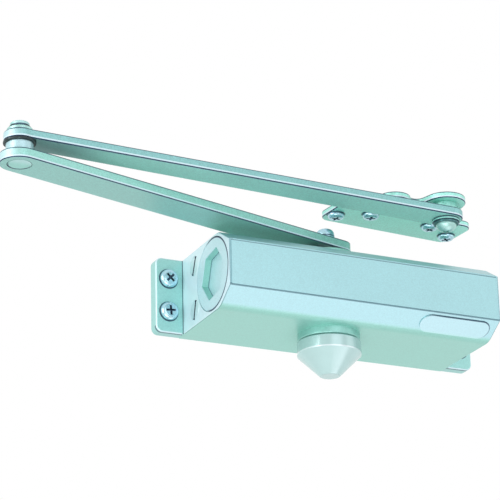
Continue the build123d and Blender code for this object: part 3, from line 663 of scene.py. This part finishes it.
def moulded_cap(name, colour):
    """Satin silver moulding with a fine etched grain, its straight side painted darker as shade and a painted
    highlight line round its shoulder.
    """
    finish = Finish(name)
    cloud = finish.noise(14 * MM)
    grain = finish.noise(0.25 * MM)
    x, y, z = finish.axes()
    base = finish.mix(cloud, toned(colour, 0.95), toned(colour, 1.04))
    base = finish.mix((z > -CAP_SHOULDER) * CAP_SIDE_SHARE, base, toned(colour, CAP_SIDE_SHADE))
    base = finish.mix((abs(z + CAP_SHOULDER) < CAP_LINE) * CAP_BRIGHT, base, CAP_HIGHLIGHT_COLOUR)
    return finish.surface(
        base_color=base, metallic=0.25, roughness=cloud * 0.06 + 0.22,
        normal=finish.bump(grain, 0.006 * MM), coat_weight=0.3, coat_roughness=0.22,
    )


def zinc_plate(name, colour):
    """Bright zinc with a faint bloom, with painted shade in the driver recess and under the head."""
    finish = Finish(name)
    bloom = finish.noise(2.5 * MM, detail=3.0)
    recess = finish.node("ShaderNodeAttribute", {"attribute_name": "recess"}, output="Fac")
    warm = [colour[0] * 1.02, colour[1] * 0.98, colour[2] * 0.90]
    base = finish.mix(bloom.smooth(0.35, 0.70), colour, warm)
    # Painted shade in the recess and under the head
    base = finish.mix(recess * RECESS_DARK, base, SHADOW)
    grain = finish.noise(0.4 * MM)
    return finish.surface(
        base_color=base, metallic=0.8, roughness=bloom * 0.12 + recess * 0.2 + 0.18,
        normal=finish.bump(grain, 0.010 * MM),
    )


def turned_steel(name, colour, centre, rough=0.32, shade_marks=None):
    """Steel from a lathe: fine rings about the axis for which the centre has None, and painted shade marks
    where they are given.
    """
    finish = Finish(name)
    x, y, z = finish.axes()
    along = [wire for wire, value in zip((x, y, z), centre) if value is None][0]
    ring = ((finish.reach(centre) + along) * (2 * math.pi / LATHE_PITCH)).sine()
    cloud = finish.noise(5 * MM)
    base = finish.mix(cloud, toned(colour, 0.90), toned(colour, 1.06))
    if shade_marks:
        base = finish.mix(shade_marks(finish), base, SHADOW)
    return finish.surface(
        base_color=base, metallic=0.75, roughness=cloud * 0.12 + rough,
        normal=finish.bump(ring + cloud * 2.0, 0.003 * MM),
    )


def slot_painted_shade(node):
    """Painted shade in the screwdriver slot of a speed valve and on its lips, widest at both ends."""
    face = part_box(node)[0].x
    middle = middle_of(node)
    angle = math.radians(VALVE_TURNS[node])

    def shade_marks(finish):
        x, y, z = finish.axes()
        aside, above = y - middle.y, z - middle.z
        across = abs(aside * math.cos(angle) + above * math.sin(angle))
        along = abs(aside * math.sin(angle) - above * math.cos(angle))
        lips = across < VALVE_SLOT_WIDTH / 2 + VALVE_SLOT_LIP
        ends = (across < VALVE_SLOT_WIDTH / 2 + VALVE_END_LIP) * (along > VALVE_SLOT_END)
        return lips.either(ends) * (x < face + VALVE_SLOT_REACH) * VALVE_DARK

    return shade_marks


def blackened_steel(name, colour):
    """Black-oxide spring steel with rubbed spots."""
    finish = Finish(name)
    rubbed = finish.noise(1.8 * MM, detail=4.0)
    base = finish.mix(rubbed.smooth(0.50, 0.75), colour, toned(colour, 2.2))
    return finish.surface(
        base_color=base, metallic=0.7, roughness=0.50 - rubbed * 0.18,
        normal=finish.bump(rubbed, 0.010 * MM),
    )


def machined_steel(name, colour):
    """Hardened steel with fine cutter streaks along the spindle."""
    finish = Finish(name)
    streak = finish.noise(0.5 * MM, detail=3.0, stretch=(1.0, 1.0, 14.0))
    stain = finish.noise(8 * MM)
    base = finish.mix(stain, toned(colour, 0.85), colour)
    return finish.surface(
        base_color=base, metallic=1.0, roughness=streak * 0.15 + 0.22,
        normal=finish.bump(streak, 0.006 * MM),
    )


def sintered_bronze(name, colour):
    """Bronze bearing with oil-dark pores."""
    finish = Finish(name)
    pore = finish.noise(0.35 * MM, detail=3.0).smooth(0.56, 0.68)
    tint = finish.noise(4 * MM)
    base = finish.mix(tint, toned(colour, 0.90), toned(colour, 1.08))
    base = finish.mix(pore * 0.7, base, toned(colour, 0.25))
    return finish.surface(
        base_color=base, metallic=0.95, roughness=pore * 0.25 + 0.32,
        normal=finish.bump(1.0 - pore, 0.02 * MM),
    )


def moulded_rubber(name, colour):
    """Matt seal rubber with a faint bloom."""
    finish = Finish(name)
    bloom = finish.noise(3 * MM, detail=4.0)
    grain = finish.noise(0.2 * MM)
    base = finish.mix(bloom.smooth(0.40, 0.80), colour, toned(colour, 2.4))
    return finish.surface(
        base_color=base, roughness=bloom * 0.2 + 0.55, normal=finish.bump(grain, 0.02 * MM),
    )


def ground_iron(name, colour):
    """Cast iron, ground round, with graphite specks."""
    finish = Finish(name)
    speck = finish.noise(0.6 * MM, detail=4.0).smooth(0.58, 0.70)
    streak = finish.noise(0.4 * MM, stretch=(1.0, 16.0, 16.0))
    base = finish.mix(speck * 0.6, colour, toned(colour, 0.45))
    return finish.surface(
        base_color=base, metallic=0.9, roughness=streak * 0.2 + 0.28,
        normal=finish.bump(streak, 0.008 * MM),
    )


def oiled_wire(name, colour):
    """Oil-tempered spring wire with straw and blue patches."""
    finish = Finish(name)
    patch = finish.noise(9 * MM, detail=3.0)
    straw = [colour[0] * 1.35, colour[1] * 1.15, colour[2] * 0.85]
    base = finish.mix(patch.smooth(0.35, 0.65), colour, straw)
    grain = finish.noise(0.4 * MM)
    return finish.surface(
        base_color=base, metallic=0.9, roughness=patch * 0.15 + 0.25,
        normal=finish.bump(grain, 0.006 * MM),
    )


def polished_ball(name, colour):
    """Polished bearing steel with hairline scuffs."""
    finish = Finish(name)
    scuff = finish.noise(0.25 * MM, detail=3.0, stretch=(1.0, 6.0, 2.0)).smooth(0.60, 0.72)
    base = finish.mix(scuff * 0.3, colour, toned(colour, 0.7))
    return finish.surface(base_color=base, metallic=1.0, roughness=scuff * 0.15 + 0.06)


def paint_nodes(finish, *nodes):
    """Give CAD nodes one finish."""
    for name in nodes:
        mesh = frame["nodes"][name].data
        mesh.materials.clear()
        mesh.materials.append(finish)


def finish_nodes():
    """Dress every CAD node."""
    body_paint = satin_paint(
        "body_paint", BODY_COLOUR, metal=0.45, rough=0.38, shade_marks=casting_painted_shade, highlight_marks=casting_painted_highlights,
        painted_tone=(FRONT_LIGHT_TONE, front_light_zone),
    )
    paint_nodes(body_paint, "housing")
    plug_paint = satin_paint(
        "plug_paint", PLUG_COLOUR, metal=0.35, rough=0.38, shade_marks=plug_painted_shade, highlight_marks=socket_mouth_highlight,
        painted_tone=(SOCKET_SHADE_COLOUR, shaded_socket_walls),
    )
    paint_nodes(plug_paint, "left_end_plug", "right_end_plug")
    arm_paint = satin_paint(
        "arm_paint", ARM_COLOUR, metal=0.40, rough=0.40, shade_marks=bar_painted_shade, highlight_marks=bar_painted_highlights,
        painted_tone=(FOREARM_SIDE_SHADE, forearm_side_shade), fleck=ARM_FLECK,
    )
    paint_nodes(arm_paint, "main_arm", "forearm")
    shoe_paint = satin_paint(
        "shoe_paint", SHOE_LIT_COLOUR, metal=0.40, rough=0.40, shade_marks=bar_painted_shade, highlight_marks=bar_painted_highlights, fleck=ARM_FLECK,
    )
    paint_nodes(shoe_paint, "shoe_plate")
    pin_paint = satin_paint("pin_paint", ARM_COLOUR, metal=0.40, rough=0.40, shade_marks=pin_painted_shade, highlight_marks=pin_painted_highlight)
    paint_nodes(pin_paint, "elbow_pin")
    ring_paint = satin_paint("ring_paint", ARM_COLOUR, metal=0.40, rough=0.36, shade_marks=ring_painted_shade)
    paint_nodes(ring_paint, "shoe_pivot_spacer", "shoe_pivot_collar")
    spacer_paint = satin_paint("spacer_paint", PLUG_COLOUR, metal=0.35, rough=0.34)
    paint_nodes(spacer_paint, "elbow_spacer")
    paint_nodes(moulded_cap("cap_plastic", CAP_COLOUR), "spindle_cap")
    for node in ("closing_valve", "latching_valve"):
        middle = middle_of(node)
        centre = (None, middle.y, middle.z)
        paint_nodes(turned_steel(f"{node}_steel", VALVE_COLOUR, centre, VALVE_ROUGH, slot_painted_shade(node)), node)
    elbow = middle_of("elbow_pin")
    elbow_steel = turned_steel("elbow_steel", STEEL_COLOUR, (elbow.x, elbow.y, None), shade_marks=washer_painted_shade)
    paint_nodes(elbow_steel, "elbow_top_washer")
    pivot = middle_of("shoe_pivot_bolt")
    pivot_steel = turned_steel("pivot_steel", STEEL_COLOUR, (pivot.x, pivot.y, None))
    paint_nodes(pivot_steel, "shoe_pivot_bolt")
    # The black clip finish also goes on the thrust washer, as painted shade in the gap under the forearm's
    # eye
    paint_nodes(blackened_steel("dark_clip", DARK_STEEL), "elbow_retaining_ring", "elbow_thrust_washer")
    # The washer under the forearm: dark steel, darker still as painted shade
    paint_nodes(blackened_steel("rubbed_washer", SHADED_WASHER_STEEL), "shoe_pivot_washer")
    steel = machined_steel("gear_steel", MACHINED_STEEL)
    paint_nodes(steel, "pinion_shaft", "upper_bearing_nut", "lower_bearing_nut", "check_ball_retainer")
    bronze = sintered_bronze("bearing_bronze", BRONZE)
    paint_nodes(bronze, "upper_bush", "lower_bush", "elbow_bush", "forearm_end_bush")
    rubber = moulded_rubber("seal_rubber", RUBBER)
    paint_nodes(rubber, "left_plug_ring", "right_plug_ring", "closing_valve_ring", "latching_valve_ring")
    paint_nodes(rubber, "upper_shaft_seal", "lower_shaft_seal", "piston_seal")
    paint_nodes(ground_iron("piston_iron", IRON), "piston")
    wire = oiled_wire("spring_steel", SPRING_WIRE)
    paint_nodes(wire, "closer_spring")
    paint_nodes(polished_ball("ball_steel", BALL_STEEL), "check_ball")
    zinc = zinc_plate("zinc_plate", ZINC_COLOUR)
    paint_nodes(zinc, "arm_screw_washer", "arm_lock_washer", "mounting_screws", "shoe_screws", "arm_screw")
    return zinc, wire


def cross_recess(bm, head_radius, head_height, recess):
    """Drawn-in cross in a head's outer face; gives the edges of its mouth."""
    reach = CROSS_REACH * head_radius
    bmesh.ops.create_grid(bm, x_segments=3, y_segments=3, size=reach)
    for vert in bm.verts:
        narrow = [abs(value) < reach / 2 for value in vert.co.xy]
        sizes = [CROSS_WIDTH / 2 if thin else reach for thin in narrow]
        vert.co = [math.copysign(size, value) for size, value in zip(sizes, vert.co.xy)] + [-head_height]
    corners = [face for face in bm.faces if min(map(abs, face.calc_center_median().xy)) > CROSS_WIDTH / 2]
    bmesh.ops.delete(bm, geom=corners, context="FACES")
    top = bm.faces[:]
    mouth = [edge for edge in bm.edges if edge.is_boundary]
    sunk = bmesh.ops.extrude_face_region(bm, geom=top)["geom"]
    floor = [item for item in sunk if isinstance(item, bmesh.types.BMVert)]
    bmesh.ops.scale(bm, vec=(CROSS_FLOOR, CROSS_FLOOR, 1), verts=floor)
    bmesh.ops.translate(bm, vec=(0, 0, CROSS_DEPTH), verts=floor)
    bmesh.ops.delete(bm, geom=top, context="FACES_ONLY")
    for face in bm.faces:
        face[recess] = 1.0
    return mouth


def turned_shape(bm, outline):
    """Spin a chain of (radius, height) points once round Z; gives the edges of the first point's ring."""
    chain = [bm.verts.new((radius, 0, height)) for radius, height in outline]
    edges = [bm.edges.new(pair) for pair in zip(chain, chain[1:])]
    known = set(bm.edges) - set(edges)
    bmesh.ops.spin(
        bm, geom=chain + edges, cent=(0, 0, 0), axis=(0, 0, 1), angle=2 * math.pi,
        steps=HEAD_SIDES, use_merge=True,
    )
    first = outline[0][1]
    new = [edge for edge in bm.edges if edge not in known]
    return [edge for edge in new if all(abs(vert.co.z - first) < SAME_PLACE for vert in edge.verts)]


def screw_thread(bm, core, crest, start, end):
    """Ridge wound round a core, closed at both ends."""
    turns = (end - start) / THREAD_PITCH - 1
    foot = core - THREAD_ROOT
    corners = ((foot, 0.0), (crest, THREAD_WIDTH / 2), (foot, THREAD_WIDTH))
    ridge = [bm.verts.new((radius, 0, start + share * THREAD_PITCH)) for radius, share in corners]
    edges = [bm.edges.new(pair) for pair in zip(ridge, ridge[1:] + ridge[:1])]
    bmesh.ops.spin(
        bm, geom=ridge + edges, cent=(0, 0, 0), axis=(0, 0, 1), angle=2 * math.pi * turns,
        steps=round(turns * THREAD_STEPS), dvec=(0, 0, THREAD_PITCH / THREAD_STEPS),
    )
    bmesh.ops.holes_fill(bm, edges=[edge for edge in bm.edges if edge.is_boundary], sides=3)


def pan_screw(head, thread_radius, grip, length):
    """Mesh of one screw: its head sits on Z = 0 and its thread, below a plain grip, points up."""
    head_radius, head_height = head
    bm = bmesh.new()
    recess = bm.faces.layers.float.new("recess")
    mouth = cross_recess(bm, head_radius, head_height, recess)
    rise = HEAD_ROUND * head_height
    flat = max(head_radius - rise, CROSS_MARGIN * CROSS_REACH * head_radius)
    turns = [math.radians(angle) for angle in range(0, 91, HEAD_STEP)]
    outline = [
        (flat + (head_radius - flat) * math.sin(turn), -head_height + rise * (1 - math.cos(turn)))
        for turn in turns
    ]
    plain = thread_radius - THREAD_HEIGHT
    core = plain - THREAD_ROOT
    outline += [(head_radius, -RIM_SHADOW), (head_radius, 0), (plain, 0), (plain, grip), (core, grip)]
    outline += [(core, length - POINT_LENGTH), (core, length), (0, length)]
    top_ring = turned_shape(bm, outline)
    bmesh.ops.bridge_loops(bm, edges=mouth + top_ring)
    bmesh.ops.remove_doubles(bm, verts=bm.verts, dist=SAME_PLACE)
    screw_thread(bm, core, thread_radius, grip, length)
    for vert in bm.verts:
        past = max(0.0, (vert.co.z - (length - POINT_LENGTH)) / POINT_LENGTH)
        bmesh.ops.scale(bm, vec=(1 - past * (1 - POINT_SHARE),) * 2 + (1,), verts=[vert])
    bmesh.ops.recalc_face_normals(bm, faces=bm.faces)
    for face in bm.faces:
        face.smooth = True
        # Painted shade: the faces just over the seat count as recess, for a dark line under the head
        if -RIM_SHADOW < face.calc_center_median().z < SAME_PLACE and not face[recess]:
            face[recess] = RIM_DARK
    mesh = bpy.data.meshes.new("screw")
    bm.to_mesh(mesh)
    bm.free()
    return mesh


def screw_set(name, screw, places, body, node, finish):
    """One piece made of a screw at each place, standing for a CAD node."""
    bm = bmesh.new()
    for place in places:
        known = len(bm.verts)
        bm.from_mesh(screw)
        bm.verts.ensure_lookup_table()
        bmesh.ops.transform(bm, matrix=place, verts=bm.verts[known:])
    mesh = bpy.data.meshes.new(name)
    bm.to_mesh(mesh)
    bm.free()
    mesh.set_sharp_from_angle(angle=math.radians(SHARP_ANGLE))
    mesh.materials.append(finish)
    piece = bpy.data.objects.new(name, mesh)
    bpy.context.scene.collection.objects.link(piece)
    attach(piece, body)
    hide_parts(node)


def turn(angle, axis):
    return Matrix.Rotation(math.radians(angle), 4, axis)


def mount_named(name):
    return [mount for mount in frame["record"]["mounts"] if mount["name"] == name][0]


def door_screws(finish):
    """Four screws through the ears, along Y into the door."""
    dims = mount_named("door_screws")["dims"]
    screw = pan_screw(DOOR_HEAD, dims["stud_r_mm"] * MM, EAR_THICKNESS, DOOR_SCREW_LENGTH)
    across, pitch = dims["spacing_x_mm"] * MM, dims["spacing_y_mm"] * MM
    places = []
    for side in (-1, 1):
        for up in (-1, 1):
            spot = Vector((side * across / 2, -EAR_THICKNESS, up * pitch / 2))
            places.append(Matrix.Translation(spot) @ turn(-90, "X") @ turn(DOOR_SCREW_TURNS[up], "Z"))
    screw_set("door_screws_threaded", screw, places, "closer_body", "mounting_screws", finish)


def frame_screw_spots():
    """Where the heads of the frame screws sit on the bracket plate."""
    spots = []
    along = turn(BRACKET_TURN, "Z") @ Vector((1, 0, 0))
    for name in ("frame_screws_outer", "frame_screws_inner"):
        mount = mount_named(name)
        middle = Vector(mount["pos_m"]) - Vector((0, 0, FRAME_GRIP))
        spots += [middle + along * side * mount["dims"]["pcd_mm"] / 2 * MM for side in (-1, 1)]
    return spots


def frame_screws(finish):
    """Four screws up through the bracket plate."""
    places = []
    for count, spot in enumerate(frame_screw_spots()):
        places.append(Matrix.Translation(spot) @ turn(BRACKET_TURN + FRAME_SCREW_TURN * count, "Z"))
    radius = mount_named("frame_screws_inner")["dims"]["stud_r_mm"] * MM
    screw = pan_screw(FRAME_HEAD, radius, FRAME_GRIP, FRAME_SCREW_LENGTH)
    screw_set("frame_screws_threaded", screw, places, "shoe_body", "shoe_screws", finish)


def arm_screw(finish):
    """The screw that holds the main arm on the spindle, head up."""
    middle = middle_of("arm_screw")
    seat = Vector((middle.x, middle.y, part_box("arm_screw")[1].z - ARM_HEAD[1]))
    screw = pan_screw(ARM_HEAD, ARM_THREAD_RADIUS, ARM_GRIP, ARM_SCREW_LENGTH)
    place = Matrix.Translation(seat) @ turn(180, "X") @ turn(ARM_SCREW_TURN, "Z")
    screw_set("arm_screw_threaded", screw, [place], "main_arm_body", "arm_screw", finish)


def coil_spring(finish):
    """Wire wound along the cylinder."""
    low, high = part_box("closer_spring")
    middle = (low + high) / 2
    steps = round(SPRING_TURNS * SPRING_STEPS)
    length = high.x - low.x - 2 * WIRE_RADIUS
    start = Vector((low.x + WIRE_RADIUS, middle.y, low.z + WIRE_RADIUS))
    bm = bmesh.new()
    upright = Matrix.Translation(start) @ turn(90, "X")
    bmesh.ops.create_circle(bm, segments=WIRE_SIDES, radius=WIRE_RADIUS, matrix=upright)
    bmesh.ops.spin(
        bm, geom=bm.verts[:] + bm.edges[:], cent=middle, axis=(1, 0, 0), angle=2 * math.pi * SPRING_TURNS,
        steps=steps, dvec=(length / steps, 0, 0),
    )
    bmesh.ops.holes_fill(bm, edges=[edge for edge in bm.edges if edge.is_boundary], sides=WIRE_SIDES)
    bmesh.ops.recalc_face_normals(bm, faces=bm.faces)
    for face in bm.faces:
        face.smooth = len(face.verts) == 4
    mesh = bpy.data.meshes.new("closer_spring_coil")
    bm.to_mesh(mesh)
    bm.free()
    mesh.materials.append(finish)
    piece = bpy.data.objects.new("closer_spring_coil", mesh)
    bpy.context.scene.collection.objects.link(piece)
    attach(piece, "closer_body")
    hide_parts("closer_spring")
    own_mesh(piece)


def seen_rays(wiring):
    """1 for the rays that show what lies behind the closer: straight, in gloss and through glass."""
    path = wiring.node("ShaderNodeLightPath", output="Is Camera Ray")
    rays = path.socket.node.outputs
    return path.either(Wire(wiring, rays["Is Glossy Ray"])).either(Wire(wiring, rays["Is Transmission Ray"]))


def studio():
    """Pale floor far below, a white room and five soft lamps."""
    bpy.ops.mesh.primitive_plane_add(size=FLOOR_SIZE, location=(0, 0, -FLOOR_DROP))
    floor = bpy.context.active_object
    floor.name = "floor"
    plain = Finish("pale_floor")
    base = plain.mix(plain.noise(FLOOR_CLOUD), toned(WHITE, 0.84), toned(WHITE, 0.90))
    glow = plain.mix(seen_rays(plain), toned(WHITE, 0.0), WHITE)
    paint = plain.surface(base_color=base, roughness=0.7, emission_color=glow, emission_strength=FLOOR_LIFT)
    floor.data.materials.append(paint)
    world = bpy.data.worlds.new("white_room")
    bpy.context.scene.world = world
    room = Wiring(world)
    background = room.tree.nodes["Background"]
    room.feed(background.inputs["Color"], WHITE)
    room.feed(background.inputs["Strength"], seen_rays(room) * (1 - AMBIENT) + AMBIENT)
    middle = (cad_box[0] + cad_box[1]) / 2
    for name, (direction, power, colour) in LAMPS.items():
        lamp = bpy.data.lights.new(name, "AREA")
        lamp.size = LAMP_SIDE
        lamp.energy = power
        lamp.color = colour
        shown = bpy.data.objects.new(name, lamp)
        bpy.context.scene.collection.objects.link(shown)
        away = Vector(direction).normalized()
        shown.matrix_world = Matrix.Translation(middle + away * LAMP_DISTANCE) @ aimed(-away)
        shown.visible_camera = False


def aimed(direction):
    return direction.to_track_quat("-Z", "Y").to_matrix().to_4x4()


def photo_camera():
    """Camera that looks up along the body from its lower left."""
    turned, risen = math.radians(VIEW_TURN), math.radians(VIEW_RISE)
    ahead = Vector((math.sin(turned) * math.cos(risen), math.cos(turned) * math.cos(risen), math.sin(risen)))
    data = bpy.data.cameras.new("camera")
    data.lens = VIEW_LENS
    camera = bpy.data.objects.new("camera", data)
    bpy.context.scene.collection.objects.link(camera)
    camera.matrix_world = Matrix.Translation(VIEW_PLACE) @ aimed(ahead) @ turn(VIEW_ROLL, "Z")
    bpy.context.scene.camera = camera


zinc, wire = finish_nodes()
door_screws(zinc)
frame_screws(zinc)
arm_screw(zinc)
coil_spring(wire)
studio()
photo_camera()
bpy.context.scene.view_settings.view_transform = "Standard"
